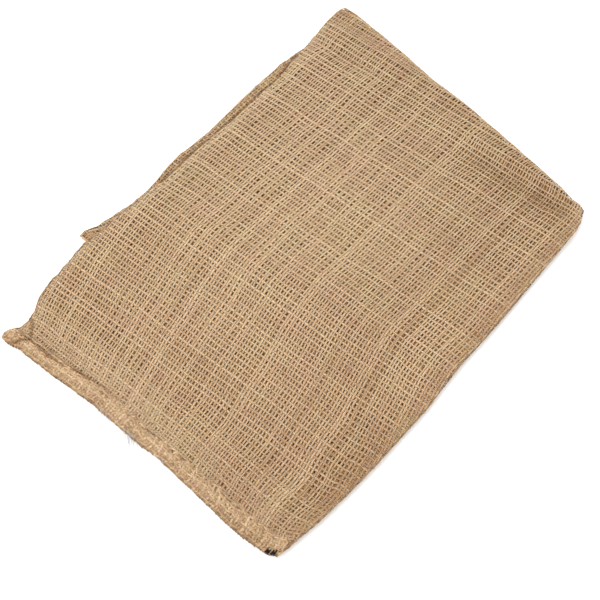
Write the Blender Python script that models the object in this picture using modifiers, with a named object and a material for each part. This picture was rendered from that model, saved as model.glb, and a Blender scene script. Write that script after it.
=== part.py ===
"""A jute sack, empty and pressed flat, folded once across and lying on its shorter half.

The sack is one piece of cloth: a flat tube, open at the hemmed mouth and sewn shut at the other end.
+X runs from the mouth to the fold, +Y across the sack and +Z up. The cloth rests on Z = 0.
"""

from collections import namedtuple
from math import cos, exp, pi, radians, sin

import bmesh
import bpy

MM = 0.001  # the tables and constants below are in millimetres

# Driving dimensions.
SACK_LENGTH = 840.0  # from the mouth to the bottom seam, along the cloth
CLOTH = 1.4  # thickness of one layer of the open jute weave
HEM_CLOTH = 2.6  # thickness of the mouth's hem, the cloth turned over on itself
HEM_WIDTH = 13.5
HEM_STEP = 1.5  # over which the hem thins to the single cloth
PANEL_GAP = 1.2  # between the sack's front and back, which lie loosely on each other
HALF_GAP = 1.0  # between the upper and the lower half
FOLD_LOFT = 2.6  # how far the two halves spring apart at the fold
LOFT_REACH = 70.0  # how far back from the fold that shows
FOLD_LEVEL = 12.0  # next to the fold, where the halves run level
TOP_LOFT = 1.2  # by which the top layer stands off the one beneath
PANEL_RISE = CLOTH + PANEL_GAP  # between the middles of the front and the back
END_CLEAR = 10.0  # how far past the end of the lower half the upper one stays level
END_DROP = 34.0  # and the length over which it then comes down to the floor

# Mesh steps.
PANEL_COLUMNS = 16  # across each panel
EDGE_COLUMNS = 3  # round each long edge
FOLD_ROWS = 8  # round the fold
END_ROWS = 3  # round the sewn bottom end
END_STEP = 3.0  # from the end to the next row
FIRST_ROW, ROW_GROWTH, WIDEST_ROW = 6.0, 1.22, 27.0  # row spacing grows away from the hem

# The four layers, from the floor up. The lower half is turned over, so the sack's front is beneath.
LOWER_FRONT, LOWER_BACK, UPPER_BACK, UPPER_FRONT = range(4)
# Places near the long edges, where the edge tables are read.
NEAR_RIGHT, NEAR_LEFT = -165.0, 158.0

Edge = namedtuple("Edge", "along across")
Across = namedtuple("Across", "across along")
Crease = namedtuple("Crease", "x1 y1 x2 y2 rise width")

# The long edges of the half on top: distance along the sack, and where the edge lies across.
# The left one ends in the small ear that the seam makes at the hem.
UPPER_LEFT = [
    Edge(-241, 157.5), Edge(-235, 159), Edge(-229, 157.5), Edge(-222, 151), Edge(-213, 150.5),
    Edge(-203, 153), Edge(-190, 160), Edge(-176, 163.5), Edge(-150, 165), Edge(-124, 166.5),
    Edge(-95, 164), Edge(-62, 160.5), Edge(-30, 161), Edge(-5, 161.5), Edge(28, 156),
    Edge(62, 153), Edge(130, 153.5), Edge(180, 153), Edge(214, 155.5), Edge(230, 154.5), Edge(241, 151),
]
UPPER_RIGHT = [
    Edge(-230, -156.5), Edge(-224, -161), Edge(-216, -163), Edge(-200, -164), Edge(-182, -167.5),
    Edge(-150, -170.5), Edge(-110, -173), Edge(-45, -175.2), Edge(5, -173), Edge(45, -174.8),
    Edge(182, -175), Edge(196, -172), Edge(203, -167.5), Edge(210, -161),
]
# The long edges of the half beneath, whose left one shows and ends in the bottom seam's ear.
LOWER_LEFT = [
    Edge(-126, 169.5), Edge(-121, 176), Edge(-114, 176), Edge(-104, 172), Edge(-93, 169),
    Edge(-72, 163), Edge(-32, 161), Edge(-5, 165.5), Edge(14, 165), Edge(40, 162.5),
    Edge(100, 162.2), Edge(150, 159.5), Edge(180, 155), Edge(205, 151), Edge(241, 149),
]
LOWER_RIGHT = [
    Edge(-212, -157), Edge(-200, -162), Edge(-120, -166), Edge(100, -169), Edge(190, -168),
    Edge(203, -164.5), Edge(210, -158),
]
# The mouth and the fold, as places across the sack and how far along it they lie.
MOUTH = [
    Across(-162, -225.5), Across(-145, -231.5), Across(-110, -232.5), Across(-60, -230.2), Across(-25, -229),
    Across(0, -231), Across(55, -231), Across(90, -234), Across(130, -237), Across(159, -240.5),
]
FOLD = [
    Across(-169, 205.5), Across(-150, 209.5), Across(-105, 216), Across(-60, 222), Across(-10, 227),
    Across(30, 228.5), Across(70, 234), Across(110, 238), Across(140, 240.5), Across(156, 238.5),
]
# Soft ridges and troughs of the top, each a line with its height and the width it fades over.
CREASES = [
    Crease(178, -48, 203, -168, -2.0, 9),
    Crease(160, -62, 190, -172, 1.2, 11),
    Crease(-104, 168, -130, 78, -1.1, 8),
    Crease(-86, 160, -110, 60, 0.9, 10),
    Crease(-38, 110, -36, -120, 0.9, 26),
    Crease(60, 130, 205, 120, 1.0, 20),
    Crease(40, -150, 190, -158, 0.9, 12),
    Crease(-190, 120, -160, -120, 1.1, 24),
    Crease(90, -20, 150, 60, 0.9, 34),
]


def smooth(t):
    """0 to 1, level at both ends."""
    t = min(max(t, 0.0), 1.0)
    return t * t * (3 - 2 * t)


def along_rows(rows, at):
    """The second column of a table at a value of its first, on straight lines between the rows."""
    if at <= rows[0][0]:
        return rows[0][1]
    for low, high in zip(rows, rows[1:]):
        if at <= high[0]:
            part = (at - low[0]) / (high[0] - low[0])
            return low[1] + part * (high[1] - low[1])
    return rows[-1][1]


def crease_height(x, y):
    """Height that the ridges and troughs add to the top."""
    total = 0.0
    for c in CREASES:
        run_x, run_y = c.x2 - c.x1, c.y2 - c.y1
        t = ((x - c.x1) * run_x + (y - c.y1) * run_y) / (run_x**2 + run_y**2)
        t = min(max(t, 0.0), 1.0)
        off = (x - c.x1 - t * run_x) ** 2 + (y - c.y1 - t * run_y) ** 2
        total += c.rise * exp(-off / (2 * c.width**2))
    return total


def lower_end(y):
    """Where the sack's bottom seam lies: what is left of its length, folded back beneath."""
    return 2 * along_rows(FOLD, y) - along_rows(MOUTH, y) - SACK_LENGTH


def hem_share(x, y):
    """1 on the hem, 0 past it."""
    return smooth((HEM_WIDTH + HEM_STEP - (x - along_rows(MOUTH, y))) / HEM_STEP)


def layer_heights(x, y):
    """Heights of the middles of the four layers, in the order of the names above."""
    ridge = crease_height(x, y)
    hem = hem_share(x, y) * (HEM_CLOTH - CLOTH)
    loft = FOLD_LOFT * smooth(1 - (along_rows(FOLD, y) - x - FOLD_LEVEL) / LOFT_REACH)
    over = smooth((x - lower_end(y) + END_CLEAR + END_DROP) / END_DROP)
    lower_front = CLOTH / 2
    lower_back = lower_front + PANEL_RISE
    upper_back = lower_front + over * (PANEL_RISE + CLOTH + HALF_GAP + max(ridge, 0) / 2) + loft + hem / 2
    upper_front = upper_back + PANEL_RISE + TOP_LOFT + hem + ridge * (1 if ridge < 0 else 1 - over / 2)
    return lower_front, lower_back, upper_back, upper_front


def ring(place, right_rows, left_rows, back, front):
    """Points round the flat tube, from the right edge over its front to the left edge and back.

    place gives how far along the sack the ring lies at a place across, and back and front name its layers.
    Each long edge is a half round.
    """
    radius = (PANEL_RISE + hem_share(place(0), 0) * (HEM_CLOTH - CLOTH)) / 2
    right = along_rows(right_rows, place(NEAR_RIGHT)) + radius
    left = along_rows(left_rows, place(NEAR_LEFT)) - radius
    across = [right + (left - right) * k / PANEL_COLUMNS for k in range(PANEL_COLUMNS + 1)]
    points = [(place(y), y, layer_heights(place(y), y)[front]) for y in across]
    points += half_round(place(left), left, back, front, radius)
    points += [(place(y), y, layer_heights(place(y), y)[back]) for y in reversed(across)]
    points += reversed(half_round(place(right), right, back, front, -radius))
    return points


def half_round(x, y, back, front, reach):
    """The points between the front and the back layer round a long edge."""
    heights = layer_heights(x, y)
    middle, rise = (heights[front] + heights[back]) / 2, (heights[front] - heights[back]) / 2
    angles = [pi * k / EDGE_COLUMNS for k in range(1, EDGE_COLUMNS)]
    return [(x, y + reach * sin(angle), middle + rise * cos(angle)) for angle in angles]


def graded_rows(places, length):
    """Fractions of a length where rows stand: the given places, then wider steps, closer again at its end."""
    places = list(places)
    step = FIRST_ROW
    while places[-1] + step < length - FIRST_ROW / 2:
        places.append(places[-1] + step)
        step = min(step * ROW_GROWTH, WIDEST_ROW, max((length - places[-1]) / 3, FIRST_ROW))
    return [place / length for place in places] + [1.0]


def fold_turn(y):
    """How far along the turn of the fold begins."""
    heights = layer_heights(along_rows(FOLD, y) - FOLD_LEVEL, y)
    return along_rows(FOLD, y) - (heights[UPPER_FRONT] - heights[LOWER_FRONT]) / 2


def rings_between(start, rows, right_rows, left_rows, back, front):
    """Rings at fractions of the way from start to the fold's turn."""
    rings = []
    for fraction in rows:

        def place(y):
            return start(y) + fraction * (fold_turn(y) - start(y))

        rings.append(ring(place, right_rows, left_rows, back, front))
    return rings


def upper_rings():
    """Rings from the mouth to where the fold's turn begins."""
    rows = graded_rows([0.0, HEM_WIDTH / 2, HEM_WIDTH, HEM_WIDTH + HEM_STEP], fold_turn(0) - along_rows(MOUTH, 0))
    return rings_between(lambda y: along_rows(MOUTH, y), rows, UPPER_RIGHT, UPPER_LEFT, UPPER_BACK, UPPER_FRONT)


def lower_rings():
    """Rings from where the fold's turn ends, back beneath to the bottom seam."""
    rows = reversed(graded_rows([0.0, END_STEP], fold_turn(0) - lower_end(0)))
    return rings_between(lower_end, rows, LOWER_RIGHT, LOWER_LEFT, LOWER_BACK, LOWER_FRONT)


def fold_rings(before, after):
    """Rings round the fold, between the last of the upper half and the first of the lower."""
    rows = []
    for k in range(1, FOLD_ROWS):
        angle = pi * k / FOLD_ROWS
        points = []
        for (x1, y1, z1), (x2, y2, z2) in zip(before, after):
            share = (1 - cos(angle)) / 2
            x = x1 + (x2 - x1) * share + (z1 - z2) / 2 * sin(angle)
            points.append((x, y1 + (y2 - y1) * share, (z1 + z2) / 2 + (z1 - z2) / 2 * cos(angle)))
        rows.append(points)
    return rows


def end_rings(last):
    """Rings that close the bottom end: the front and the back come together in a small round."""
    middle = (min(z for _, _, z in last) + max(z for _, _, z in last)) / 2
    reach = PANEL_RISE / 2
    flat = [y for _, y, z in last[: PANEL_COLUMNS + 1]]
    rows = []
    for k in range(1, END_ROWS + 1):
        angle = pi / 2 * k / END_ROWS
        points = []
        for x, y, z in last:
            held = min(max(y, min(flat)), max(flat))
            points.append((x - reach * sin(angle), held + (y - held) * cos(angle), middle + (z - middle) * cos(angle)))
        rows.append(points)
    return rows


def cloth_material():
    material = bpy.data.materials.new("jute_cloth")
    material.use_nodes = True
    shader = material.node_tree.nodes["Principled BSDF"]
    shader.inputs["Base Color"].default_value = (0.50, 0.33, 0.19, 1.0)
    shader.inputs["Roughness"].default_value = 0.95
    shader.inputs["Metallic"].default_value = 0.0
    return material


def sack_sheet():
    """The cloth's middle surface, a bag of rings, and its rows counted from the mouth."""
    upper = upper_rings()
    lower = lower_rings()
    rows = upper + fold_rings(upper[-1], lower[0]) + lower + end_rings(lower[-1])
    mesh = bmesh.new()
    hem_layer = mesh.verts.layers.deform.verify()
    rings = [[mesh.verts.new((x * MM, y * MM, z * MM)) for x, y, z in row] for row in rows]
    for near, far in zip(rings, rings[1:]):
        for k in range(len(near)):
            after = (k + 1) % len(near)
            mesh.faces.new((near[k], near[after], far[after], far[k]))
    for vertex in mesh.verts:
        vertex[hem_layer][0] = hem_share(vertex.co.x / MM, vertex.co.y / MM)
    bmesh.ops.remove_doubles(mesh, verts=rings[-1], dist=1e-6)
    bmesh.ops.recalc_face_normals(mesh, faces=mesh.faces)
    return mesh


def make_sack(collection):
    mesh = sack_sheet()
    data = bpy.data.meshes.new("sack_cloth")
    mesh.to_mesh(data)
    mesh.free()
    sack = bpy.data.objects.new("sack_cloth", data)
    collection.objects.link(sack)
    sack.vertex_groups.new(name="hem")
    data.materials.append(cloth_material())
    wall = sack.modifiers.new("cloth thickness", "SOLIDIFY")
    wall.thickness = HEM_CLOTH * MM
    wall.vertex_group = "hem"
    wall.thickness_vertex_group = CLOTH / HEM_CLOTH
    wall.offset = 0.0
    data.shade_smooth()
    data.set_sharp_from_angle(angle=radians(60))
    return sack


def stand_on_origin(obj):
    """Moves the object so that the middle of its base stands on the origin."""
    bpy.context.view_layer.update()
    corners = obj.evaluated_get(bpy.context.evaluated_depsgraph_get()).bound_box
    for axis in range(2):
        places = [corner[axis] for corner in corners]
        obj.location[axis] = -(min(places) + max(places)) / 2


def main():
    for obj in list(bpy.data.objects):
        bpy.data.objects.remove(obj)
    collection = bpy.data.collections.new("jute_sack")
    bpy.context.scene.collection.children.link(collection)
    stand_on_origin(make_sack(collection))


main()
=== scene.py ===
from math import cos, pi, radians, sin

import bpy
import numpy as np
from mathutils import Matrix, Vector


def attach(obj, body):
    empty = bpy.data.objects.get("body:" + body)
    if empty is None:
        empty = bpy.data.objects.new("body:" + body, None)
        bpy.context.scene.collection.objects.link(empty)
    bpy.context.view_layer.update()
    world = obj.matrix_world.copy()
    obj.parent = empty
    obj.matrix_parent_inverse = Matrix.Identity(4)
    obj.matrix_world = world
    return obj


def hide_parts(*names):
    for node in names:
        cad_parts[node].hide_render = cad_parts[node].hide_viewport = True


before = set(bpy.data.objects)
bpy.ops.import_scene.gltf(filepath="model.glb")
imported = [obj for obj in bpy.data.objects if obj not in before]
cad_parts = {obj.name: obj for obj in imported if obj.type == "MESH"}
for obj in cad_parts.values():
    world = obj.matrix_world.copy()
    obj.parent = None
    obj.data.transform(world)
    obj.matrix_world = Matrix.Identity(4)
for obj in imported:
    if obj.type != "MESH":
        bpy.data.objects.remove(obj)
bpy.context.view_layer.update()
mm = 0.001

# the cloth's shape

clothShape = {
    "sackLength": 840,  # mouth to bottom seam, along the cloth
    "clothThick": 1.4,
    "hemThick": 2.6,
    "hemWidth": 13.5,
    "hemStep": 1.5,  # over which the hem thins to the single cloth
    "hemSlope": 6,  # and over this much more to the right of the ear
    "panelGap": 1.2,  # between front and back
    "halfGap": 1.0,  # between the upper and the lower half
    "foldLoft": 2.6,  # how far the halves spring apart at the fold
    "loftReach": 70,
    "foldLevel": 12,
    "topLoft": 1.2,  # the top layer stands off the one beneath
    "follow": 2.0,  # and the yarns beneath it come up to it, by this at most
    "followLess": 1.1,  # less towards the fold's left end
    "nearest": 1.8,  # and no nearer, middle to middle
    "endClear": 10,
    "endDrop": 34,  # over which the upper half comes down past the end of the lower one
    "edgeArc": 5.0,  # cloth taken by the turn at each long edge
    "edgeSink": 1.5,  # how far the top comes down to the long edges
    "edgeReach": 13,  # and over what width
    "pinch": 16,  # the bottom seam presses the layers together over this
}
# long edges of the half on top and of the one beneath: how far along, where across
upperLeft = [
    (-241, 157.5), (-235, 159.3), (-228, 157.8), (-224, 154.5), (-221.5, 152.4), (-213, 152.2), (-203, 154.4),
    (-190, 161.2), (-176, 164.8), (-150, 166), (-124, 166.5), (-95, 164), (-62, 160.5), (-40, 159.3),
    (-30, 156.4), (-5, 155.8), (12, 155.6), (28, 154.6), (45, 152.6), (62, 151.3), (105, 150.2), (130, 149.4),
    (142, 150.1), (152, 151.8), (165, 152.8), (180, 153.2), (214, 156), (230, 155.6), (241, 152.4),
]
upperRight = [
    (-230, -150), (-227, -154), (-223, -157), (-219, -160.6), (-213, -162.4), (-208, -162.8), (-200, -163.6),
    (-190, -165.5), (-182, -167.2), (-150, -170.5), (-110, -173), (-45, -175.2), (5, -173), (45, -174.8),
    (182, -174.8), (190, -173.2), (197, -171), (204, -168), (211, -160.5),
]
lowerLeft = [
    (-126, 170), (-122.5, 176.7), (-120.5, 179), (-114, 180), (-110.5, 179), (-107, 176.2), (-103.4, 173.9),
    (-95.5, 171.8), (-87, 170.3), (-79, 168.7), (-70.5, 166.7), (-61, 164.7), (-45, 163.9), (-32, 164.5),
    (-18, 166.2), (-5, 167.4), (14, 166.4), (40, 163.2), (100, 163.5), (150, 161.8), (168, 158.6), (182, 156.4),
    (205, 151), (241, 149),
]
lowerRight = [(-212, -157), (-200, -161.5), (-120, -166), (100, -169), (190, -168), (203, -165.5), (210, -158)]
# the mouth and the fold: where across, how far along
mouthLine = [
    (-162, -221.5), (-157, -225.2), (-152, -228.6), (-143, -230.4), (-135, -231.5), (-127, -232.2),
    (-110, -232.4), (-60, -230.2), (-25, -229), (0, -231), (55, -231), (90, -234.1), (115, -236), (130, -236.8),
    (140, -237.2), (144, -238.2), (148, -239.5), (155, -240), (159, -239.4),
]
foldLine = [
    (-169, 208), (-160.6, 210.2), (-152, 209.2), (-141, 211.8), (-105, 216.5), (-60, 222.3), (-10, 228),
    (30, 229.5), (70, 235), (110, 239.2), (140, 241.5), (156, 240.8), (172, 239.6),
]
# soft ridges and troughs of the top: a line, its height and the width it fades over
creases = [
    (178, -48, 203, -168, -2.0, 9), (160, -62, 190, -172, 1.2, 11), (-104, 168, -130, 78, -1.1, 8),
    (-86, 160, -110, 60, 0.9, 10), (-38, 110, -36, -120, 0.9, 26), (60, 130, 205, 120, 1.0, 20),
    (40, -150, 190, -158, 0.9, 12), (-190, 120, -160, -120, 1.1, 24), (90, -20, 150, 60, 0.9, 34),
]
folds = [  # sharp ones by the mouth's corner, of the yarns only
    (-232, 150, -230, 148, 0.9, 5), (-211, 149, -222.5, 138.3, -0.7, 1.1), (-226, 147, -225.6, 138, -0.9, 1.2),
    (-237, 144.4, -227.5, 139.4, -0.7, 1.3), (-225.2, 134, -226, 112, -0.6, 1.2), (-213, 152, -221, 142.5, 0.6, 1.8),
]
nearRight, nearLeft = -165.0, 158.0  # places near the long edges, where the edge rows are read
lowerFront, lowerBack, upperBack, upperFront = range(4)


def smooth(t):
    t = np.clip(t, 0.0, 1.0)
    return t * t * (3 - 2 * t)


def readRow(rows, at):
    columns = np.array(rows, float)
    return np.interp(at, columns[:, 0], columns[:, 1])


def lineShare(x, y, x1, y1, x2, y2, width):
    # 1 on the line from one point to the other, fading over the width
    runX, runY = x2 - x1, y2 - y1
    t = np.clip(((x - x1) * runX + (y - y1) * runY) / (runX**2 + runY**2), 0, 1)
    return np.exp(-((x - x1 - t * runX) ** 2 + (y - y1 - t * runY) ** 2) / (2 * width**2))


def creaseHeight(x, y):
    return sum(rise * lineShare(x, y, x1, y1, x2, y2, width) for x1, y1, x2, y2, rise, width in creases + folds)


def farShare(x, y):
    # from below 0 at the mouth's right corner to 1 at the fold's left end
    return np.clip((0.76 * x + 0.65 * y + 60) / 260, -0.4, 1.0)


def looseHem(y):
    # 1 where the hem's inner end is ragged and flat, to the right of its middle
    return smooth((46 - y) / 25)


def hemShare(x, y):
    s = clothShape
    step = s["hemStep"] + s["hemSlope"] * looseHem(y)
    return smooth((s["hemWidth"] + step - (x - readRow(mouthLine, y))) / step)


def lowerEnd(y):
    return 2 * readRow(foldLine, y) - readRow(mouthLine, y) - clothShape["sackLength"]


def layerHeights(x, y):  # of the middles of the four layers
    s = clothShape
    rise = s["clothThick"] + s["panelGap"]
    ridge = creaseHeight(x, y)
    hem = hemShare(x, y) * (s["hemThick"] - s["clothThick"])
    loft = s["foldLoft"] * smooth(1 - (readRow(foldLine, y) - x - s["foldLevel"]) / s["loftReach"])
    over = smooth((x - lowerEnd(y) + s["endClear"] + s["endDrop"]) / s["endDrop"])
    floor = s["clothThick"] / 2 + 0 * ridge
    back = floor + over * (rise + s["clothThick"] + s["halfGap"] + np.maximum(ridge, 0) / 2) + loft + hem / 2
    front = back + rise + s["topLoft"] + hem + ridge * np.where(ridge < 0, 1, 1 - over / 2)
    follow = s["follow"] - s["followLess"] * farShare(x, y)
    close = np.clip(front - back - s["nearest"], 0, follow) * (1 - hemShare(x, y))
    return floor, floor + rise, back + close, front


# the weave

weave = {
    "warpPitch": 2.96,  # round the sack
    "weftPitch": [(0, 2.7), (24, 3.1), (38, 4.0), (58, 4.8), (200, 4.95), (460, 5.3), (840, 5.2)],  # along it
    "firstWeft": 14.5,
    "lean": 0.08,  # wefts lean this much from square
    "settle": 60,  # how far in from the mouth they take to get there
    "drift": [  # how far the warps wander sideways on their way from the mouth
        (0, 0), (20, 2.0), (60, 9), (120, 20.5), (170, 30), (190, 33), (204, 33.6), (230, 32.6), (300, 29),
        (400, 23), (460, 19.5), (840, 5),
    ],
    "bow": 11,  # the back's wefts are bowed by this
    "bowLength": 47,
    "jitter": 0.12,  # of a pitch, each yarn's own place
    "waver": 0.26,  # how far a yarn wanders along its own length
    "bunch": 0.55,  # how far neighbours shift together
    "sway": 1.5,  # how far the warps sway together near the mouth
    "swayReach": 55,
    "seed": 7,
}


def alongCloth(v, y, outer):
    # where a point v from the mouth lies: x, z and how far round the fold it is
    s = clothShape
    mouth = readRow(mouthLine, y)
    reach = weave["settle"]
    ends = np.clip(np.exp(-v / reach) + np.exp(-(s["sackLength"] - v) / reach), 0, 1)
    straight = -231 - weave["lean"] * y
    bow = weave["bow"] * np.clip(1 - (y / 160) ** 2, 0, 1) * (1 - ends) * np.sin(v / weave["bowLength"])
    flat = straight + (mouth - straight) * ends + v + (0 if outer else bow)
    level = layerHeights(readRow(foldLine, y) - s["foldLevel"], y)
    turn = readRow(foldLine, y) - (level[upperFront] - level[lowerFront]) / 2
    above, below = (upperFront, lowerFront) if outer else (upperBack, lowerBack)
    atTurn = layerHeights(turn, y)
    radius = (atTurn[above] - atTurn[below]) / 2
    past = flat - turn
    angle = np.clip(past / radius, 0, pi)
    full = mouth + s["sackLength"] - turn - pi * radius
    back = np.maximum(past - pi * radius, 0) * (turn - lowerEnd(y)) / full
    x = np.where(past <= 0, flat, turn + radius * np.sin(angle) - back)
    heights = layerHeights(x, y)
    pinch = smooth((v - s["sackLength"] + s["pinch"]) / s["pinch"]) * (0 if outer else s["panelGap"])
    arcZ = (atTurn[above] + atTurn[below]) / 2 + radius * np.cos(angle)
    z = np.where(past <= 0, heights[above], np.where(angle >= pi, heights[below] - pinch, arcZ))
    return x, z, angle


def longEdge(v, near, upperRows, lowerRows):
    x, _, angle = alongCloth(v, near, True)
    share = (1 - np.cos(angle)) / 2
    return readRow(upperRows, x) * (1 - share) + readRow(lowerRows, x) * share


def sides(v):
    # where the flat front begins and ends across, and how far the round edges stand out from it
    s = clothShape
    x, _, angle = alongCloth(v, 0.0, True)
    hem = np.where(angle > 0, 0, hemShare(x, 0.0)) * (s["hemThick"] - s["clothThick"])
    reach = (s["clothThick"] + s["panelGap"] + hem) / 2
    right = longEdge(v, nearRight, upperRight, lowerRight) + reach
    return right, longEdge(v, nearLeft, upperLeft, lowerLeft) - reach, reach


def girthAt(v):
    right, left, _ = sides(v)
    return 2 * (left - right) + 2 * clothShape["edgeArc"]


def edgeShare(u, v):
    # 1 at the long edges, fading inwards, and whether the place is on the front
    arc, reach = clothShape["edgeArc"], clothShape["edgeReach"]
    right, left, _ = sides(v)
    width = left - right
    u = np.mod(u + arc / 2, 2 * width + 2 * arc) - arc / 2
    onFront = u < width + arc / 2
    inwards = np.where(onFront, np.minimum(u, width - u), np.minimum(u - width - arc, 2 * width + arc - u))
    return 1 - smooth((inwards + arc / 2) / reach), onFront


def clothPoint(u, v):
    # the cloth's middle, u round from the right edge over the front and v from the mouth
    arc = clothShape["edgeArc"]
    right, left, reach = sides(v)
    width = left - right
    u = np.mod(u, 2 * width + 2 * arc)
    zones = [u < width, u < width + arc, u < 2 * width + arc]
    angle = np.select(zones, [0 * u, pi * (u - width) / arc, pi + 0 * u], pi + pi * (u - 2 * width - arc) / arc)
    y = np.select(zones, [right + u, left, left - (u - width - arc)], right)
    xFront, zFront, _ = alongCloth(v, y, True)
    xBack, zBack, _ = alongCloth(v, y, False)
    turn = np.cos(angle)
    x = (xFront + xBack) / 2 + (xFront - xBack) / 2 * turn
    z = (zFront + zBack) / 2 + (zFront - zBack) / 2 * turn
    near, onFront = edgeShare(u, v)
    under = smooth((v - 430) / 60)  # from the upper half to the lower
    sink = np.where(onFront, under - 1, 0.2 - 0.7 * under) * near * clothShape["edgeSink"]
    return np.stack([x, y + reach * np.sin(angle), z + sink * smooth(v / 25)], -1)


def clothNormal(u, v, step=0.5):
    across = clothPoint(u + step, v) - clothPoint(u - step, v)
    along = clothPoint(u, v + step) - clothPoint(u, v - step)
    normal = np.cross(along, across)
    return normal / np.maximum(np.linalg.norm(normal, axis=-1, keepdims=True), 1e-9)


def waves(rng, count, longest, shortest):
    # a smooth random field over the cloth, about -1 to 1
    lengths = np.exp(rng.uniform(np.log(shortest), np.log(longest), count))
    turns, starts = rng.uniform(0, 2 * pi, count), rng.uniform(0, 2 * pi, count)

    def field(a, b):
        total = 0
        for length, turn, start in zip(lengths, turns, starts):
            total = total + np.sin((a * cos(turn) + b * sin(turn)) * 2 * pi / length + start)
        return total / count**0.5

    return field


def buildGrid():
    # places of all the yarns' crossings, with the half steps between them
    rng = np.random.default_rng(weave["seed"])
    length = clothShape["sackLength"]
    girth = float(np.mean(girthAt(np.linspace(5, length - 5, 60))))
    warps = int(round(girth / weave["warpPitch"] / 2)) * 2
    wefts = [weave["firstWeft"]]
    while wefts[-1] < length - 3:
        wefts.append(wefts[-1] + readRow(weave["weftPitch"], wefts[-1]))
    wefts = np.array(wefts)
    gaps = readRow(weave["weftPitch"], wefts)
    warpAt = (np.arange(warps) + 0.5 + rng.uniform(-1, 1, warps) * weave["jitter"] * 1.3) * girth / warps
    weftAt = wefts + rng.uniform(-1, 1, len(wefts)) * weave["jitter"] * gaps
    a, b = np.empty(2 * warps), np.empty(2 * len(weftAt) - 1)  # even entries are yarns, odd ones lie between
    a[0::2], b[0::2] = warpAt, weftAt
    a[1::2] = (warpAt + np.append(warpAt[1:], warpAt[0] + girth)) / 2
    b[1::2] = (weftAt[1:] + weftAt[:-1]) / 2
    a, b = np.meshgrid(a, b, indexing="ij")
    bunchA, bunchB = waves(rng, 14, 190, 40), waves(rng, 14, 190, 40)
    waverA, waverB = waves(rng, 10, 60, 14), waves(rng, 10, 60, 14)
    sway = waves(rng, 8, 110, 45)
    loose = weave["waver"] * (1 + 1.6 * np.exp(-(b - 14) / 22))  # the cloth by the hem is rougher
    v = b + np.clip((b - 14) / 30, 0, 1) * weave["bunch"] * bunchB(a, b) + loose * waverB(a, b * 9)
    v = np.clip(v, clothShape["hemWidth"], length)
    right, _, _ = sides(v)
    scale = girthAt(v) / girth
    u = -right + readRow(weave["drift"], v) + (a - girth / 4) * scale
    u = u + weave["bunch"] * bunchA(a, b) + loose * waverA(a * 9, b)
    u = u + weave["sway"] * np.exp(-(b - 14) / weave["swayReach"]) * sway(a, b)
    return {"u": u, "v": v, "girth": girth, "warps": warps, "wefts": len(weftAt)}


grid = buildGrid()
points = clothPoint(grid["u"], grid["v"])
normals = clothNormal(grid["u"], grid["v"])
print("weave:", grid["warps"], "warps,", grid["wefts"], "wefts, round", round(grid["girth"], 1), "mm")

# node trees


def addNode(tree, kind, settings=None, inputs=None):
    # settings are the node's own options; an input is a value or another node's output
    node = tree.nodes.new(kind)
    for name, value in (settings or {}).items():
        setattr(node, name, value)
    for key, value in (inputs or {}).items():
        socket = node.inputs[key]
        if isinstance(value, bpy.types.NodeSocket):
            tree.links.new(value, socket)
        else:
            socket.default_value = value
    return node


def newTree(name, sizes):
    # a geometry tree with named inputs, and the outputs of the node that holds them
    tree = bpy.data.node_groups.new(name, "GeometryNodeTree")
    tree.interface.new_socket("Geometry", in_out="INPUT", socket_type="NodeSocketGeometry")
    for label, kind in sizes.items():
        tree.interface.new_socket(label, in_out="INPUT", socket_type="NodeSocket" + kind)
    tree.interface.new_socket("Geometry", in_out="OUTPUT", socket_type="NodeSocketGeometry")
    return tree, tree.nodes.new("NodeGroupInput").outputs


def endTree(tree, geometry, material):
    real = addNode(tree, "GeometryNodeRealizeInstances", None, {0: geometry})
    done = addNode(tree, "GeometryNodeSetMaterial", None, {"Geometry": real.outputs[0], "Material": material})
    tree.links.new(done.outputs[0], tree.nodes.new("NodeGroupOutput").inputs[0])


def readAttribute(tree, name, kind="FLOAT"):
    return addNode(tree, "GeometryNodeInputNamedAttribute", {"data_type": kind}, {"Name": name}).outputs[0]


def sums(tree, operation, first, second, third=0.0):
    return addNode(tree, "ShaderNodeMath", {"operation": operation}, {0: first, 1: second, 2: third}).outputs[0]


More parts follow.
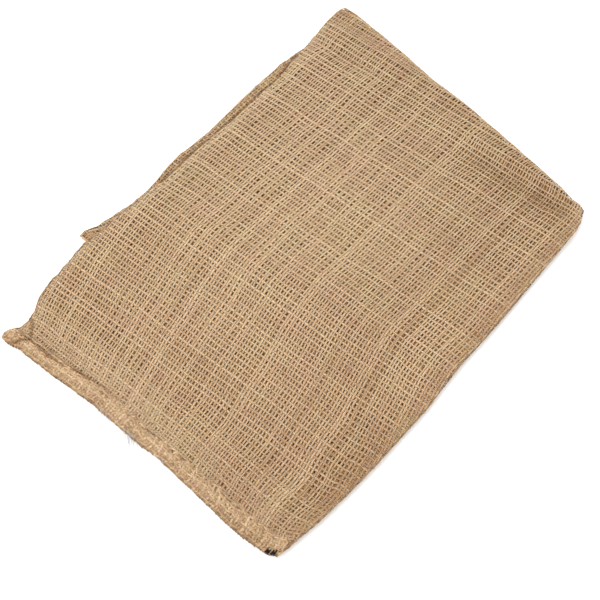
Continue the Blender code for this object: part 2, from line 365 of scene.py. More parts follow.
def strandTree():
    # each chain of edges becomes a flattened yarn, lifted over and under what it crosses
    tree, size = newTree(
        "strands",
        {"Width": "Float", "Height": "Float", "Lift": "Float", "Slub": "Float", "Slub Length": "Float",
         "Sides": "Int", "Seed": "Float", "Material": "Material"},
    )
    outward = readAttribute(tree, "outward", "FLOAT_VECTOR")
    rise = sums(tree, "MULTIPLY", readAttribute(tree, "over"), size["Lift"])
    move = addNode(tree, "ShaderNodeVectorMath", {"operation": "SCALE"}, {0: outward, "Scale": rise})
    placed = addNode(tree, "GeometryNodeSetPosition", None, {"Geometry": size["Geometry"], "Offset": move.outputs[0]})
    lines = addNode(tree, "GeometryNodeMeshToCurve", None, {0: placed.outputs[0]})
    flat = addNode(tree, "GeometryNodeSetCurveNormal", {"mode": "FREE"}, {"Curve": lines.outputs[0], "Normal": outward})
    lump = addNode(
        tree, "ShaderNodeTexNoise", {"noise_dimensions": "4D"},
        {
            "Vector": addNode(tree, "GeometryNodeInputPosition").outputs[0],
            "W": sums(tree, "ADD", readAttribute(tree, "tone"), size["Seed"]),
            "Scale": sums(tree, "DIVIDE", 1.0, size["Slub Length"]),
            "Detail": 1.0,
        },
    )
    swell = sums(tree, "MULTIPLY_ADD", sums(tree, "MULTIPLY_ADD", lump.outputs[0], 2.0, -1.0), size["Slub"], 1.0)
    ring = addNode(tree, "GeometryNodeCurvePrimitiveCircle", None, {"Resolution": size["Sides"], "Radius": 0.5})
    shape = addNode(tree, "ShaderNodeCombineXYZ", None, {0: size["Height"], 1: size["Width"], 2: 1.0})
    oval = addNode(tree, "GeometryNodeTransform", None, {"Geometry": ring.outputs[0], "Scale": shape.outputs[0]})
    tube = addNode(
        tree, "GeometryNodeCurveToMesh", None,
        {
            "Curve": flat.outputs[0],
            "Profile Curve": oval.outputs[0],
            "Scale": sums(tree, "MULTIPLY", swell, readAttribute(tree, "girth")),
            "Fill Caps": True,
        },
    )
    soft = addNode(tree, "GeometryNodeSetShadeSmooth", None, {"Geometry": tube.outputs[0]})
    endTree(tree, soft.outputs[0], size["Material"])
    return tree


def fuzzTree():
    # loose fibres lying about on a surface, each curled its own way
    tree, size = newTree(
        "fuzz",
        {"Per Square Metre": "Float", "Length": "Float", "Thickness": "Float", "Curl": "Float", "Curl Length": "Float",
         "Tilt": "Float", "Seed": "Int", "Material": "Material"},
    )
    spots = addNode(
        tree, "GeometryNodeDistributePointsOnFaces", {"distribute_method": "RANDOM"},
        {"Mesh": size["Geometry"], "Density": size["Per Square Metre"], "Seed": size["Seed"]},
    )
    half = sums(tree, "MULTIPLY", size["Length"], 0.5)
    start = addNode(tree, "ShaderNodeCombineXYZ", None, {0: sums(tree, "MULTIPLY", half, -1.0)})
    end = addNode(tree, "ShaderNodeCombineXYZ", None, {0: half})
    line = addNode(tree, "GeometryNodeCurvePrimitiveLine", None, {"Start": start.outputs[0], "End": end.outputs[0]})
    fibre = addNode(tree, "GeometryNodeResampleCurve", None, {"Curve": line.outputs[0], "Count": 5})
    least = addNode(tree, "ShaderNodeCombineXYZ", None, {1: sums(tree, "MULTIPLY", size["Tilt"], -1.0)})
    most = addNode(tree, "ShaderNodeCombineXYZ", None, {1: size["Tilt"], 2: 2 * pi})
    turned = addNode(
        tree, "FunctionNodeRandomValue", {"data_type": "FLOAT_VECTOR"},
        {0: least.outputs[0], 1: most.outputs[0], "Seed": size["Seed"]},
    )
    sized = addNode(tree, "FunctionNodeRandomValue", None, {2: 0.5, 3: 1.3, "Seed": size["Seed"]})
    placed = addNode(
        tree, "GeometryNodeInstanceOnPoints", None,
        {
            "Points": spots.outputs[0], "Instance": fibre.outputs[0],
            "Rotation": turned.outputs[0], "Scale": sized.outputs[1],
        },
    )
    shade = addNode(tree, "FunctionNodeRandomValue", None, {2: 0.35, 3: 0.85, "Seed": size["Seed"]})
    toned = addNode(
        tree, "GeometryNodeStoreNamedAttribute", {"domain": "INSTANCE"},
        {"Geometry": placed.outputs[0], "Name": "tone", "Value": shade.outputs[1]},
    )
    real = addNode(tree, "GeometryNodeRealizeInstances", None, {0: toned.outputs[0]})
    bend = addNode(
        tree, "ShaderNodeTexNoise", None,
        {
            "Vector": addNode(tree, "GeometryNodeInputPosition").outputs[0],
            "Scale": sums(tree, "DIVIDE", 1.0, size["Curl Length"]),
            "Detail": 0.0,
        },
    )
    vectors = "ShaderNodeVectorMath"
    centred = addNode(tree, vectors, {"operation": "SUBTRACT"}, {0: bend.outputs["Color"], 1: (0.5, 0.5, 0.5)})
    squashed = addNode(tree, vectors, {"operation": "MULTIPLY"}, {0: centred.outputs[0], 1: (1.0, 1.0, 0.3)})
    move = addNode(tree, vectors, {"operation": "SCALE"}, {0: squashed.outputs[0], "Scale": size["Curl"]})
    curled = addNode(tree, "GeometryNodeSetPosition", None, {"Geometry": real.outputs[0], "Offset": move.outputs[0]})
    radius = sums(tree, "MULTIPLY", size["Thickness"], 0.5)
    ring = addNode(tree, "GeometryNodeCurvePrimitiveCircle", None, {"Resolution": 3, "Radius": radius})
    tube = addNode(
        tree, "GeometryNodeCurveToMesh", None,
        {"Curve": curled.outputs[0], "Profile Curve": ring.outputs[0], "Fill Caps": True},
    )
    endTree(tree, tube.outputs[0], size["Material"])
    return tree


def runTree(name, data, tree, values):
    # the finished mesh that a tree makes of a starting mesh
    start = bpy.data.objects.new(name + "Start", data)
    bpy.context.collection.objects.link(start)
    step = start.modifiers.new("nodes", "NODES")
    step.node_group = tree
    for item in tree.interface.items_tree:
        if item.in_out == "INPUT" and item.name in values:
            step[item.identifier] = values[item.name]
    made = bpy.data.meshes.new_from_object(start.evaluated_get(bpy.context.evaluated_depsgraph_get()))
    bpy.data.objects.remove(start)
    bpy.data.meshes.remove(data)
    made.name = name
    return made


def chainMesh(name, chains):
    # chains are (points, outward, over, girth, tone and the painted inner light); each becomes a row of edges
    data = bpy.data.meshes.new(name)
    counts = [len(chain[0]) for chain in chains]
    starts = np.concatenate([[0], np.cumsum(counts)[:-1]])
    edges = np.concatenate([np.stack([np.arange(n - 1), np.arange(1, n)], 1) + s for n, s in zip(counts, starts)])
    data.vertices.add(sum(counts))
    data.vertices.foreach_set("co", (np.concatenate([c[0] for c in chains]) * mm).astype(np.float32).ravel())
    data.edges.add(len(edges))
    data.edges.foreach_set("vertices", edges.astype(np.int32).ravel())
    fields = [("outward", "FLOAT_VECTOR", "vector")]
    fields += [(label, "FLOAT", "value") for label in ("over", "girth", "tone", "paintedInnerLight")]
    for column, (field, kind, slot) in enumerate(fields, 1):
        shapes = [(len(c[0]), 3) if column == 1 else len(c[0]) for c in chains]
        values = np.concatenate([np.broadcast_to(c[column], shape) for c, shape in zip(chains, shapes)])
        data.attributes.new(field, kind, "POINT").data.foreach_set(slot, values.astype(np.float32).ravel())
    return data


def patchMesh(name, places):
    # a plain grid of faces through an array of points
    rows, columns = places.shape[:2]
    index = np.arange(rows * columns).reshape(rows, columns)
    faces = np.stack([index[:-1, :-1], index[1:, :-1], index[1:, 1:], index[:-1, 1:]], -1).reshape(-1, 4)
    data = bpy.data.meshes.new(name)
    data.from_pydata((places.reshape(-1, 3) * mm).tolist(), [], faces.tolist())
    return data


def cellMap(data):
    # a map with a small cell of its own for every face, row by row
    count = len(data.polygons)
    across = int(np.ceil(count**0.5))
    totals = np.empty(count, np.int32)
    data.polygons.foreach_get("loop_total", totals)
    face = np.repeat(np.arange(count), totals)
    corner = np.arange(len(face)) - np.repeat(np.cumsum(totals) - totals, totals)
    shift = np.array([(0.12, 0.12), (0.88, 0.12), (0.88, 0.88), (0.12, 0.88)])[corner % 4]
    place = (np.stack([face % across, face // across], 1) + shift) / across
    data.uv_layers.new(name="OFBake").data.foreach_set("uv", place.astype(np.float32).ravel())


def finishPiece(name, data):
    # a made mesh becomes a piece of the sack, pressed flat where it meets the floor
    places = np.empty(3 * len(data.vertices), np.float32)
    data.vertices.foreach_get("co", places)
    places[2::3] = np.maximum(places[2::3], 0.03 * mm)
    data.vertices.foreach_set("co", places)
    for attribute in ("outward", "over", "girth"):
        if attribute in data.attributes:
            data.attributes.remove(data.attributes[attribute])
    cellMap(data)
    piece = bpy.data.objects.new(name, data)
    bpy.context.collection.objects.link(piece)
    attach(piece, "root")
    print(name, len(data.loop_triangles) or sum(p.loop_total - 2 for p in data.polygons), "triangles")
    return piece


# materials


def toLinear(hexColour):
    parts = [int(hexColour[k : k + 2], 16) / 255 for k in (1, 3, 5)]
    return [p / 12.92 if p <= 0.04045 else ((p + 0.055) / 1.055) ** 2.4 for p in parts] + [1.0]


def juteMaterial(name, pale, dark, fleck, fleckSize=4.0, glow=0.65, hueSize=22, hueSpread=0.03):
    # spun jute, undyed: dull dry fibre with a little sheen, its tone changing from yarn to yarn, and thin
    # enough for some light to come through, which keeps the gaps in the weave brown and not black
    material = bpy.data.materials.new(name)
    material.use_nodes = True
    tree = material.node_tree
    shader = tree.nodes["Principled BSDF"]
    shader.inputs["Roughness"].default_value = 0.9
    shader.inputs["Specular IOR Level"].default_value = 0.1
    shader.inputs["Sheen Weight"].default_value = 0.05
    shader.inputs["Sheen Roughness"].default_value = 0.5
    shader.inputs["Sheen Tint"].default_value = toLinear(pale)
    shader.inputs["Subsurface Weight"].default_value = glow
    shader.inputs["Subsurface Radius"].default_value = (1.0, 0.86, 0.72)
    shader.inputs["Subsurface Scale"].default_value = 1.5 * mm
    place = addNode(tree, "ShaderNodeTexCoord").outputs["Object"]
    tone = addNode(tree, "ShaderNodeAttribute", {"attribute_name": "tone"}).outputs["Fac"]
    mottle = addNode(tree, "ShaderNodeTexNoise", None, {"Vector": place, "Scale": 1000 / fleckSize, "Detail": 3.0})
    share = sums(tree, "ADD", tone, sums(tree, "MULTIPLY_ADD", mottle.outputs[0], fleck, -fleck / 2))
    colour = addNode(
        tree, "ShaderNodeMix", {"data_type": "RGBA", "clamp_factor": True},
        {0: share, 6: toLinear(dark), 7: toLinear(pale)},
    )
    hue = addNode(tree, "ShaderNodeTexNoise", None, {"Vector": place, "Scale": 1000 / hueSize, "Detail": 2.0})
    spread = sums(tree, "MULTIPLY_ADD", hue.outputs[0], hueSpread, 0.5 - hueSpread / 2)
    # painted light: yarns inside are painted warmer and a little lighter, standing in for light that reaches them
    # through jute
    paintedInnerLight = addNode(tree, "ShaderNodeAttribute", {"attribute_name": "paintedInnerLight"}).outputs["Fac"]
    lighter = sums(tree, "MULTIPLY_ADD", paintedInnerLight, 0.03, 1.0)
    tinted = addNode(
        # where the tone, lowered mostly by painted shade, falls below the dark colour, the colour is darkened further
        tree, "ShaderNodeHueSaturation", None,
        {
            "Hue": spread,
            "Saturation": sums(tree, "MULTIPLY_ADD", paintedInnerLight, 0.16, 1.0),
            "Value": sums(tree, "MULTIPLY_ADD", sums(tree, "MINIMUM", share, 0.0), 0.5, lighter),
            "Color": colour.outputs[2],
        },
    )
    tree.links.new(tinted.outputs[0], shader.inputs["Base Color"])
    return material


# the woven layers

yarns = {
    "warpWidth": 2.0,
    "weftWidth": 2.15,
    "innerWider": (0.32, 0.16),  # warps and wefts inside lie flatter
    "edgeWider": (0.15, 0.12),  # warps and wefts where the cloth turns at the left, packed close
    "farWider": (-0.2, 0.12),  # towards the fold's left end
    "height": 0.5,
    "lift": 0.18,  # above and below the cloth's middle
    "slub": 0.32,
    "slubLength": 12,
    "spread": 0.12,  # how much yarns differ in girth
    "tones": (0.3, 0.75),
    "seed": 8,
}
# parts of the top that are darker or more open: a line, its reach, how much darker and how much thinner
patches = [
    (182, -62, 187, -152, 10, 0.20, 0.20), (-205, -158, -95, -160, 15, 0.26, 0.02),
    (-154, -7, -150, 12, 13, 0.06, 0.08), (-178, -89, -168, -60, 14, 0.06, 0.08),
    (-60, -121, -186, -161, 12, 0.08, 0.04), (225, 150, 214, -150, 9, 0.20, 0.03),
    (-160, -168, 180, -171, 6, 0.22, 0.0), (-20, -140, 10, -135, 14, -0.15, 0.0),
    (-181, 70, -175, 84, 9, 0.0, 0.12), (-60, 20, 60, 0, 60, -0.10, -0.05), (-80, 50, 45, 12, 38, 0.0, -0.09),
    (95, -108, 195, -125, 24, -0.04, 0.13), (186, -132, 190, -150, 8, 0.22, 0.08),
    (-206, -20, -206, 90, 11, -0.16, 0.0), (-92, 105, -95, 70, 20, 0.1, 0.0),
    (188, 108, 192, 40, 16, 0.12, 0.0),
]
# wefts added where the cloth is closer woven: how far over and under, and how wide and how much darker
secondWeft = {"over": -0.7, "edge": (0.62, 0.25), "fold": (0.8, 0.15)}
foldFromMouth, seenFromMouth = 470, 478  # where the cloth turns under, and the last of it that shows
rightShade = 0.12  # yarns are darker along the right
farPaler = 0.2  # and paler towards the fold's left end
innerDark = (0.24, 0.6)  # those inside are in the shade, more so there
paintedEdgeShade = 0.9  # and painted shade where they turn down at an edge
rng = np.random.default_rng(yarns["seed"])
warpGirth = np.exp(rng.normal(0, yarns["spread"], grid["warps"]))
weftGirth = np.exp(rng.normal(0, yarns["spread"], grid["wefts"]))
warpTone = rng.uniform(*yarns["tones"], grid["warps"])
weftTone = rng.uniform(*yarns["tones"], grid["wefts"])


# the shade in sharp folds and under the top half's edge: a line, its reach and how dark
shades = [
    (-224.4, 150, -226.2, 146, 0.7, 0.9), (-226.2, 146, -225.4, 137, 0.7, 1.1),
    (-237.5, 144.4, -230.6, 142.5, 0.8, 0.8), (-230.6, 142.5, -225.4, 137, 0.8, 1.2),
    (-210, 151.2, -214.4, 144.4, 0.8, 1.2), (-214.4, 144.4, -225.4, 137, 0.8, 1.3),
    (-225.4, 137, -225, 127.5, 0.7, 1.1), (-225, 127.5, -226, 115, 0.7, 0.8), (-226, 115, -222.8, 94, 0.7, 0.8),
    (-221.9, 117, -219.4, 90, 0.7, 0.6), (-219.4, 90, -218.1, 77.5, 0.8, 1.2),
    (-218.1, 77.5, -214.4, 57.5, 0.8, 1.1), (-214.4, 57.5, -213.5, 49, 0.8, 0.9),
    (-204, 156, -200, 158, 1.2, 0.9),
]
# where the upper half's long edge stands over the lower half's: along the sack
overhang = (-34, 176)


def shadeAt(x, y):
    return np.max([dark * lineShare(x, y, x1, y1, x2, y2, reach) for x1, y1, x2, y2, reach, dark in shades], axis=0)


def paintedShadeAndThinningOf(u, v, places):
    # how much darker the yarns are painted at each place (painted shade in the folds, under the upper half's edge,
    # along the right and inside, paler towards the fold's left end, and the darker patches), how much thinner they are,
    # and whether they are inside
    x, y = places[..., 0], places[..., 1]
    far = farShare(x, y).clip(0, 1)
    darker = shadeAt(x, y) + rightShade * smooth((-75 - y) / 25) * (1 - smooth((-110 - y) / 25)) - farPaler * far
    thinner = 0 * x
    for x1, y1, x2, y2, reach, dark, thin in patches:
        share = lineShare(x, y, x1, y1, x2, y2, reach)
        darker, thinner = darker + dark * share, thinner + thin * share
    upper = v < foldFromMouth
    near, onFront = edgeShare(u, v)
    inside = np.where(onFront, 0, 1 - smooth(near * 1.8))
    thinner = np.where(upper, thinner - 0.08 * np.exp(-(v - 14) / 22), 0) - 0.12 * near * (y < 0)
    clear = y - readRow(upperLeft, x)  # the lower half's edge lies in the shade of the upper one
    along = smooth((x - overhang[0]) / 14) * smooth((overhang[1] - x) / 10)
    line = (0.2 + 1.5 * along) * (1 - smooth((clear - 2.3) / 1.9)) * smooth((y - 135) / 6)
    under = 0.15 * near * (y > 0) + line
    within = (innerDark[0] + innerDark[1] * far) * (1 - near)
    return np.where(upper, np.where(onFront, darker, within), under), thinner, inside


near, onFront = edgeShare(grid["u"], grid["v"])
leftEdge, rightEdge = near * (points[..., 1] > 0), near * (points[..., 1] < 0)
warpWider, weftWider = zip(yarns["innerWider"], yarns["edgeWider"], yarns["farWider"])
farther = farShare(points[..., 0], points[..., 1])
onFloor = smooth((lowerEnd(points[..., 1]) - points[..., 0] + 5) / 10)  # no lower half beneath
darker, thinner, inside = paintedShadeAndThinningOf(grid["u"], grid["v"], points)
foldEdge = smooth((points[..., 0] - readRow(foldLine, points[..., 1]) + 8) / 6) * (grid["v"] < seenFromMouth)
thinner = thinner - 0.2 * foldEdge
rimShare = np.maximum(near * (onFront | (near > 0.6)) * (grid["v"] < seenFromMouth), foldEdge)
# painted shade where the cloth turns down at its long edges and at the fold
darker = darker + paintedEdgeShade * smooth((0.72 - normals[..., 2]) / 0.7) * rimShare
seen = (onFront | (near > 0.8)) & (grid["v"] < seenFromMouth)  # where half steps between crossings are worth keeping
half = grid["warps"] // 2


def weaveChains(warpRange, weftRange):
    # the warps and wefts of one part of the cloth
    rounds, last = 2 * grid["warps"], 2 * grid["wefts"] - 2
    chains = []

    def add(i, j, girth, tone, sign, wider):
        i, j = np.mod(i, rounds), np.clip(j, 0, last)
        crossing = (i % 2 == 0) & ((j % 2 == 0) | (sign == secondWeft["over"]))
        keep = crossing | seen[i, j]
        keep[0] = keep[-1] = True
        i, j, crossing = i[keep], j[keep], crossing[keep]
        over = np.where(crossing, np.where((i // 2 + j // 2) % 2 == 0, 1.0, -1.0) * sign, 0.0)
        flatter = wider[0] * inside[i, j] * (1 + 0.8 * onFloor[i, j])
        girth = girth * (1 - thinner[i, j] + flatter + wider[1] * leftEdge[i, j] + wider[2] * farther[i, j])
        # the last entry is the painted inner light, as strong as the yarn lies inside
        chains.append((points[i, j], normals[i, j], over, girth, tone - darker[i, j], inside[i, j]))

    def addSecond(around, j, place):
        width, shade = secondWeft[place]
        girth = weftGirth[j // 2] * ratio * width
        add(around, j + 0 * around, girth, weftTone[j // 2] - shade, secondWeft["over"], (0, 0, 0))

    i0, i1 = warpRange
    j0, j1 = weftRange
    ratio = yarns["weftWidth"] / yarns["warpWidth"]
    along = np.arange(max(2 * j0 - 1, 0), min(2 * j1 - 1, last) + 1)
    around = np.arange(2 * i0 - 1, 2 * i1)
    for i in range(i0, i1):
        k = i % grid["warps"]
        add(2 * i + 0 * along, along, warpGirth[k], warpTone[k], 1, warpWider)
    for j in range(j0, j1):
        add(around, 2 * j + 0 * around, weftGirth[j] * ratio, weftTone[j], -1, weftWider)
    # the cloth is closer woven along its two long edges and the fold, with a second weft between each two
    for j in range(2 * j0 + 1, min(2 * j1 - 1, last), 2) if i0 == 0 else []:
        for edge, shift in ((leftEdge, 0), (rightEdge, grid["warps"])):
            close = np.flatnonzero(np.roll(edge[:, j] > 0.12, shift)) - shift
            if len(close) > 2:
                around = np.arange(close[0], close[-1] + 1)
                addSecond(around, j, "edge")
        if foldEdge[half, j] > 0.3:
            around = np.arange(-1, grid["warps"])
            addSecond(around, j, "fold")
    return chains


jute = juteMaterial("spun jute", "#CDAE8B", "#A1805F", 0.6)
strands, fuzz = strandTree(), fuzzTree()


def strandPiece(
    name, chains, sides=4, seed=3.0, width=yarns["warpWidth"], height=yarns["height"], lift=yarns["lift"], material=jute
):
    return finishPiece(name, runTree(name, chainMesh(name + "Paths", chains), strands, {
        "Width": width * mm, "Height": height * mm, "Lift": lift * mm, "Slub": yarns["slub"],
        "Slub Length": yarns["slubLength"] * mm, "Sides": sides, "Seed": seed, "Material": material,
    }))


foldAt = int(np.argmin(abs(grid["v"][0, ::2] - foldFromMouth)))
parts = {
    "weave_bottom": ((0, half), (foldAt, grid["wefts"]), 4),
    "weave_over_bottom": ((half, 2 * half), (foldAt, grid["wefts"]), 3),
    "weave_under_top": ((half, 2 * half), (0, foldAt), 4),
    "weave_top_fold": ((0, half), (foldAt // 2, foldAt), 4),
    "weave_top_mouth": ((0, half), (0, foldAt // 2), 4),
}
for name, (warpRange, weftRange, sideCount) in parts.items():
    strandPiece(name, weaveChains(warpRange, weftRange), sideCount)

# the hem

hem = {
    "inner": [2.4, 5.0, 7.6, 10.2, 12.6],  # wefts of the ply beneath, from the mouth
    "outer": [0.10, 0.24, 0.38, 0.52, 0.66, 0.80, 0.94],  # of the ply turned over it, as shares of its width
    "width": [
        (-162, 15), (-110, 13.5), (0, 13), (20, 15), (45, 18), (60, 16.6), (82, 15.8), (95, 13.4),
        (105, 12.2), (139, 12.6), (159, 11),
    ],
    "offset": 0.66,  # each ply's middle from the hem's
    "yarnWidth": 2.5,
    "yarnHeight": 0.62,
    "lift": 0.2,
    "skew": 0.35,  # the ply turned over lies a little aslant
    "mess": 0.6,  # its yarns are pushed about
    "wobble": 0.35,
    "bulge": 0.45,
    "tones": (0.15, 1.0),
    "rimIn": 0.75,
    # painted shade on the ply beneath and where the hem turns under at the mouth
    "turnShade": 0.6,
    "seed": 21,
}


def hemChains():
    rng = np.random.default_rng(hem["seed"])
    messU, messV, ragged = waves(rng, 12, 30, 6), waves(rng, 12, 30, 6), waves(rng, 12, 40, 5)
    count = grid["warps"]
    a = (np.arange(2 * count) / 2 + 0.5) * grid["girth"] / count
    innerCount = len(hem["inner"])
    # rows from the inner ply's end, down to the mouth, round it and back over the outer ply
    rows = [(v, 0.0, -1.0) for v in [14.6] + hem["inner"][::-1]] + [(0.7, 0.0, -0.9), (0.0, 0.0, 0.0)]
    shares = sorted(hem["outer"] + [(p + q) / 2 for p, q in zip(hem["outer"], hem["outer"][1:])]) + [1.0]
    rows += [(0.0, share, 1.0) for share in shares]
    u0 = -sides(np.array(0.0))[0]
    places, outs = [], []
    for v, share, side in rows:
        u = u0 + (a - grid["girth"] / 4) * girthAt(np.array(v)) / grid["girth"] + readRow(weave["drift"], v)
        y = clothPoint(u, 0 * u + 7)[:, 1]
        vHere = v + share * readRow(hem["width"], y)
        frayed = 1 + 2.2 * smooth((share - 0.6) / 0.4) * looseHem(y)
        push = hem["mess"] * (side > 0) * min(1.0, 0.4 + share * 4) * frayed
        vHere = np.maximum(vHere + push * messV(a, 30 * share), 0.0)
        uHere = u + hem["skew"] * vHere * (side > 0) + push * messU(a, 30 * share)
        normal = clothNormal(uHere, vHere + 0.6)
        settled = 1 - 0.8 * (side > 0) * smooth((share - 0.7) / 0.3) * looseHem(y)
        place = clothPoint(uHere, vHere) + normal * (side * hem["offset"] * settled)[:, None]
        turning = smooth(1 - vHere / 2.2)  # the ply turns at the mouth, and its edge isn't straight
        place[:, 0] -= hem["bulge"] * turning + hem["wobble"] * ragged(a, 0) * np.exp(-vHere / 3)
        places.append(place)
        out = normal * (side * (1 - turning))[:, None] + turning[:, None] * [-1, 0, 0.6 * side]
        outs.append(out / np.linalg.norm(out, axis=1, keepdims=True))
    places, outs = np.array(places), np.array(outs)
    # painted shade: 1 on the ply beneath, and near the mouth where the outer ply turns under
    turned = np.array([1.0 if side < 0 else smooth(1 - v - share * 9) for v, share, side in rows])
    # painted shade in the folds on top and towards the mouth's right corner; the ear is made a little darker too
    shade = shadeAt(places[..., 0], places[..., 1]) * onFrontAt(places) + 0.1 * smooth((-70 - places[..., 1]) / 40)
    shade = shade + 0.16 * smooth((places[..., 1] - 138) / 8)
    warpTones, weftTones = rng.uniform(*hem["tones"], count), rng.uniform(*hem["tones"], len(rows))
    crossings = list(range(1, 1 + innerCount)) + [r for r, (_, share, _) in enumerate(rows) if share in hem["outer"]]
    order = {r: k for k, r in enumerate(crossings)}
    chains = []
    for i in range(count):
        over = [(1.0 if (i + order[r]) % 2 else -1.0) if r in order else 0.0 for r in range(len(rows))]
        tone = warpTones[i] - 1.5 * shade[:, 2 * i] - hem["turnShade"] * turned
        chains.append((places[:, 2 * i], outs[:, 2 * i], np.array(over), np.exp(rng.normal(0, 0.12)), tone, 0.0))
    for r in crossings:
        index = np.arange(2 * count + 1) % (2 * count)
        front = onFrontAt(places[r])
        keep = (index % 2 == 0) | (front[index] & (rows[r][2] > 0))
        index = index[keep]
        over = np.where(index % 2 == 0, np.where((index // 2 + order[r]) % 2 == 0, 1.0, -1.0), 0.0)
        tone = weftTones[r] - 1.5 * shade[r, index]
        chains.append((places[r, index], outs[r, index], over, 0.85 * np.exp(rng.normal(0, 0.12)), tone, 0.0))
    rim = np.arange(0, 2 * count + 1, 2) % (2 * count)  # and one yarn lies in the turn
    chains.append((places[7, rim] + [hem["rimIn"], 0, 0], outs[7, rim], 0.0, 0.9, 0.2, 0.0))
    return chains


def onFrontAt(places):
    return places[..., 2] > 3.5


hemJute = juteMaterial("matted jute", "#D4B693", "#92704E", 1.15, 1.4, 0.3, 7, 0.045)
hemPiece = strandPiece("hem", hemChains(), 4, 5.0, hem["yarnWidth"], hem["yarnHeight"], hem["lift"], hemJute)

fuzzLook = {
    "hemDensity": 0.17,  # fibres on each square millimetre
    "hemLength": 6.5,
    "topDensity": 0.009,
    "topLength": 11,
    "edgeDensity": 0.035,  # on the cloth beside the hem
    "edgeWidth": 34,
    "thickness": 0.2,  # real fibres are finer, and would not show at all
    "seed": 4,
}


def fuzzPiece(name, data, density, length, curl, tilt, material):
    return finishPiece(name, runTree(name, data, fuzz, {
        "Per Square Metre": density * 1e6, "Length": length * mm, "Thickness": fuzzLook["thickness"] * mm,
        "Curl": curl * mm, "Curl Length": 3.5 * mm, "Tilt": tilt, "Seed": fuzzLook["seed"], "Material": material,
    }))


def hemSurface(first, last, height):
    # the top of the cloth between two distances from the mouth, each one a share of the hem plus a length
    y = np.linspace(-155, 154, 90)
    share = np.linspace(0, 1, 8)
    u, s = np.meshgrid(y - sides(np.array(7.0))[0], share, indexing="ij")
    width = readRow(hem["width"], y)[:, None]
    v = (first[0] * width + first[1]) * (1 - s) + (last[0] * width + last[1]) * s
    return clothPoint(u, v) + clothNormal(u, v + 0.6) * height


hemFuzz = fuzzPiece(
    "hem_fuzz", patchMesh("hemSurface", hemSurface((0, 0.3), (1, 3), 1.15)),
    fuzzLook["hemDensity"], fuzzLook["hemLength"], 5, 0.12, hemJute,
)
edgeFuzz = fuzzPiece(
    "fuzz_beside_hem", patchMesh("besideHem", hemSurface((1, 0), (0, fuzzLook["edgeWidth"]), 0.7)),
    fuzzLook["edgeDensity"], fuzzLook["hemLength"], 5, 0.08, jute,
)
topStep = np.arange(0, half - 2) * 2
topFuzz = fuzzPiece(
    "loose_fibres", patchMesh("topSurface", points[np.ix_(topStep, np.arange(0, 2 * foldAt, 4))] + [0, 0, 0.7]),
    fuzzLook["topDensity"], fuzzLook["topLength"], 6, 0.05, jute,
)

# thread

thread = {
    "inset": 2.2,  # of the hem's stitches from its inner edge
    "stitch": 6.5,
    "seamAt": 832,  # the bottom seam, from the mouth
    "width": 0.8,
    "height": 0.6,
    "tackWidth": 1.15,
    "tackHeight": 0.8,
    "tackClose": 0.62,  # the turns' spacing, as a share of their width
    "tacks": [(-150.1, 4), (-154.7, 4)],  # black bar tacks: middle across, turns
    "seed": 5,
}


def stitchLine(u, v, height):
    # a running stitch along the cloth, out on top for one stitch and inside for the next
    steps = np.arange(len(u))
    over = np.where(steps % 4 < 2, 1.0, -1.0)
    normal = clothNormal(u, v + 0.6)
    return clothPoint(u, v) + normal * (height * over)[:, None], normal, 0.0, 1.0, 0.6, 0.0


def stitchChains():
    right, left, _ = sides(np.array(7.0))
    chains = []
    for start, end in ((4, left - right - 4), (left - right + 9, 2 * (left - right))):
        u = np.arange(start, end, thread["stitch"] / 2)
        v = readRow(hem["width"], clothPoint(u, 0 * u + 7)[:, 1]) - thread["inset"]
        chains.append(stitchLine(u, v, 1.15))
    right, left, _ = sides(np.array(float(thread["seamAt"])))
    for start, end in ((4, left - right - 4), (left - right + 9, 2 * (left - right))):
        u = np.arange(start, end, thread["stitch"] / 2)
        chains.append(stitchLine(u, 0 * u + thread["seamAt"], 0.75))
    return chains


def tackChains():
    # turns of thread over the mouth's edge, through both hems
    rng = np.random.default_rng(thread["seed"])
    chains = []
    for middle, turns in thread["tacks"]:
        for turn in range(turns):
            y = middle + (turn - (turns - 1) / 2) * thread["tackWidth"] * thread["tackClose"] + rng.normal(0, 0.2)
            mouth = readRow(mouthLine, y)
            top, low = layerHeights(mouth + 2, y)[upperFront], layerHeights(mouth + 2, y)[upperBack]
            inner = rng.uniform(2.8, 4.4)
            path = [
                (inner, top + 0.6), (inner - 1, top + 1.65), (1.4, top + 1.7), (-0.4, top + 1.0),
                (-0.9, (top + low) / 2), (-0.4, low - 0.8), (1.7, low - 1.3), (inner, low - 0.4),
            ]
            lean = rng.normal(0, 0.5)
            places = np.array([(mouth + x, y + lean * x / 5, max(z, 0.55)) for x, z in path])
            outward = np.stack([-np.ones(8), np.zeros(8), np.linspace(1.5, -1.5, 8)], 1)
            chains.append((places, outward / np.linalg.norm(outward, axis=1, keepdims=True), 0.0, 1.0, 0.5, 0.0))
    return chains


def threadMaterial(name, colour):
    # waxed cotton sewing thread: smoother than the jute, with a faint shine
    material = bpy.data.materials.new(name)
    material.use_nodes = True
    shader = material.node_tree.nodes["Principled BSDF"]
    shader.inputs["Base Color"].default_value = toLinear(colour)
    shader.inputs["Roughness"].default_value = 0.75
    shader.inputs["Specular IOR Level"].default_value = 0.2
    return material


tanThread = threadMaterial("tan cotton thread", "#C9A57A")
stitches = strandPiece("stitches", stitchChains(), 5, 2.0, thread["width"], thread["height"], 0.0, tanThread)
blackThread = threadMaterial("black cotton thread", "#0D0906")
tacks = strandPiece("black_tacks", tackChains(), 6, 2.0, thread["tackWidth"], thread["tackHeight"], 0.0, blackThread)

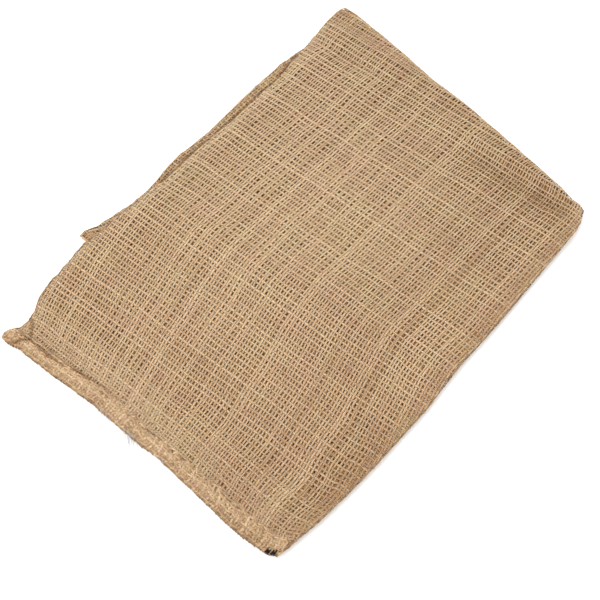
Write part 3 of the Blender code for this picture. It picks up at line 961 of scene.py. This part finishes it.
# pale loose fibres that hang out of the mouth's edge: where across, how far out, how far along, height
strays = [
    (12.6, 6.8, -6.4, 9.3), (11.9, 5.0, -5.4, 8.9), (8.2, 5.8, -4.8, 9.0), (7.0, 7.6, -6.4, 8.8),
    (6.0, 7.0, -5.2, 8.6), (4.8, 8.0, -6.6, 8.8), (3.4, 6.2, -5.4, 8.7), (1.5, 5.0, -4.4, 8.9),
    (-2.5, 3.8, -3.0, 8.8), (31.0, 2.4, -2.2, 8.8), (34.5, 3.0, -2.8, 8.9), (38.0, 2.8, -2.4, 8.7),
    (41.0, 3.2, -3.0, 8.9), (45.0, 2.4, -2.2, 8.8), (-31.0, 2.2, -2.0, 9.0),
]


def strayChains():
    chains = []
    for y, out, along, z in strays:
        t = np.linspace(0, 1, 6)
        mouth = readRow(mouthLine, y)
        places = np.stack([mouth + 2 - (out + 2) * t, y + along * t**1.6 + 0.6 * np.sin(5 * t), z - 3.5 * t**2], 1)
        chains.append((places, np.tile([0.0, 0.0, 1.0], (6, 1)), 0.0, 1.0, 0.9, 0.0))
    return chains


strayWidth, strayHeight = 0.46, 0.36  # thicker than real fibres, which would not show
paleFibre = juteMaterial("bleached jute fibre", "#A3A9AE", "#8C9298", 0.2)
strayPiece = strandPiece("stray_fibres", strayChains(), 3, 2.0, strayWidth, strayHeight, 0.0, paleFibre)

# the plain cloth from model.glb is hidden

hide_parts("sack_cloth")

# floor, light and camera

studio = {
    "lens": 64.56,
    "distance": 0.990,
    "azimuth": -49.5,
    "elevation": 67,
    "aim": (-0.03583, -0.02122, 0.0),
    "keyPower": 19,
    "keySize": 1.6,
    "keyFrom": (-0.42, 0.54, 1.85),
    "worldStrength": 1.32,
    "floorSize": 4.0,
}


def turnTo(direction):
    return Vector(direction).to_track_quat("-Z", "Y").to_euler()


def buildFloor():
    r = studio["floorSize"]
    data = bpy.data.meshes.new("floor")
    data.from_pydata([(-r, -r, 0), (r, -r, 0), (r, r, 0), (-r, r, 0)], [], [(0, 1, 2, 3)])
    floor = bpy.data.objects.new("floor", data)
    bpy.context.collection.objects.link(floor)
    material = bpy.data.materials.new("white paper")
    material.use_nodes = True
    shader = material.node_tree.nodes["Principled BSDF"]
    shader.inputs["Base Color"].default_value = toLinear("#FDFDFC")
    shader.inputs["Roughness"].default_value = 0.9
    data.materials.append(material)


def buildStudio():
    scene = bpy.context.scene
    world = bpy.data.worlds.new("soft room")
    world.use_nodes = True
    background = world.node_tree.nodes["Background"]
    background.inputs["Color"].default_value = (1.0, 1.0, 1.0, 1.0)
    background.inputs["Strength"].default_value = studio["worldStrength"]
    scene.world = world
    light = bpy.data.lights.new("key", "AREA")
    light.shape, light.size, light.energy = "DISK", studio["keySize"], studio["keyPower"]
    light.color = (1.0, 0.98, 0.95)
    lamp = bpy.data.objects.new("key", light)
    lamp.location = studio["keyFrom"]
    lamp.rotation_euler = turnTo(np.array(studio["aim"]) - np.array(studio["keyFrom"]))
    bpy.context.collection.objects.link(lamp)
    camera = bpy.data.cameras.new("camera")
    camera.lens, camera.sensor_width, camera.clip_start = studio["lens"], 36, 0.01
    holder = bpy.data.objects.new("camera", camera)
    turn, tilt = radians(studio["azimuth"]), radians(studio["elevation"])
    look = np.array([-sin(turn) * cos(tilt), cos(turn) * cos(tilt), -sin(tilt)])
    holder.location = np.array(studio["aim"]) - look * studio["distance"]
    holder.rotation_euler = turnTo(look)
    bpy.context.collection.objects.link(holder)
    scene.camera = holder
    scene.view_settings.view_transform = "Standard"


buildFloor()
buildStudio()
